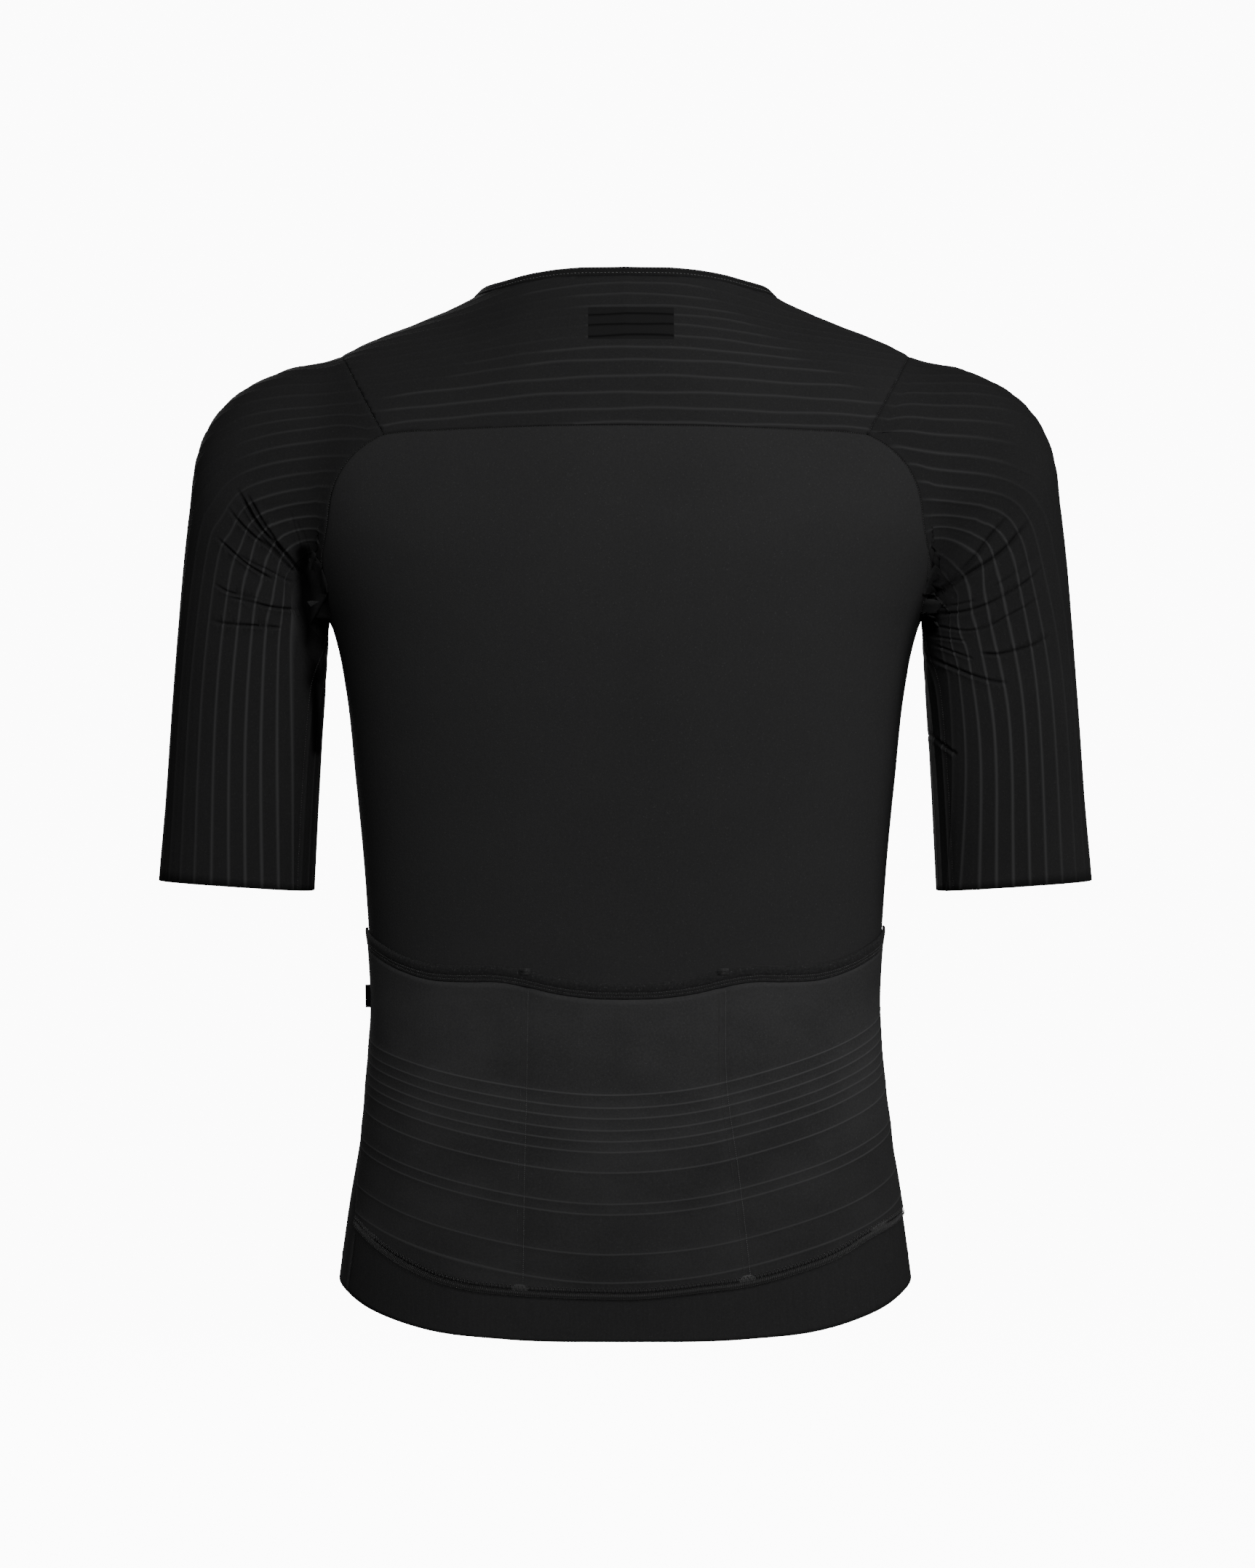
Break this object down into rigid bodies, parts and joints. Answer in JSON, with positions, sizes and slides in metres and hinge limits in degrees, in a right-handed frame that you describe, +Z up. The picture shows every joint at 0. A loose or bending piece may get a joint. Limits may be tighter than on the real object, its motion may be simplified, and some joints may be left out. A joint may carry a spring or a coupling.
{
  "type": "cycling jersey",
  "caption": "Short-sleeved ribbed cycling jersey in its worn form, hollow, with rear pockets and a full-length front zip.",
  "frame": {"origin": "midway between the two shoulder points, at their height and over the middle of the body's depth", "axes": "+X to the wearer's left, +Y to the wearer's back, +Z up"},
  "size_m": [0.5776, 0.244, 0.6395],
  "materials": {
    "body": "smooth knitted stretch cloth, black",
    "rib": "stretch cloth with fine raised ribs, black",
    "pocket": "dense knitted cloth with a soft sheen, black",
    "elastic": "flat woven elastic, black",
    "tape": "woven zip tape, black",
    "coil": "moulded nylon coil, black",
    "slider": "painted die-cast metal, black"
  },
  "bodies": {
    "jersey": {"back_panel": "body", "front_left": "body", "front_right": "body", "back_yoke": "rib", "sleeve_left": "rib", "sleeve_right": "rib", "pocket_panel": "pocket", "pocket_binding": "elastic", "hem_back": "elastic", "neck_band": "elastic", "side_tab": "elastic", "zip_tape_left": "tape", "zip_tape_right": "tape", "zip_coil": "coil", "zip_slider": "slider"},
    "zip_pull": {"zip_pull": "slider"}
  },
  "joints": [
    {"name": "zip_pull_swing", "type": "hinge", "parent": "jersey", "child": "zip_pull", "pos_m": [0, -0.08424, -0.07042], "axis": [-1, 0, 0], "range_deg": [0, 150]}
  ]
}
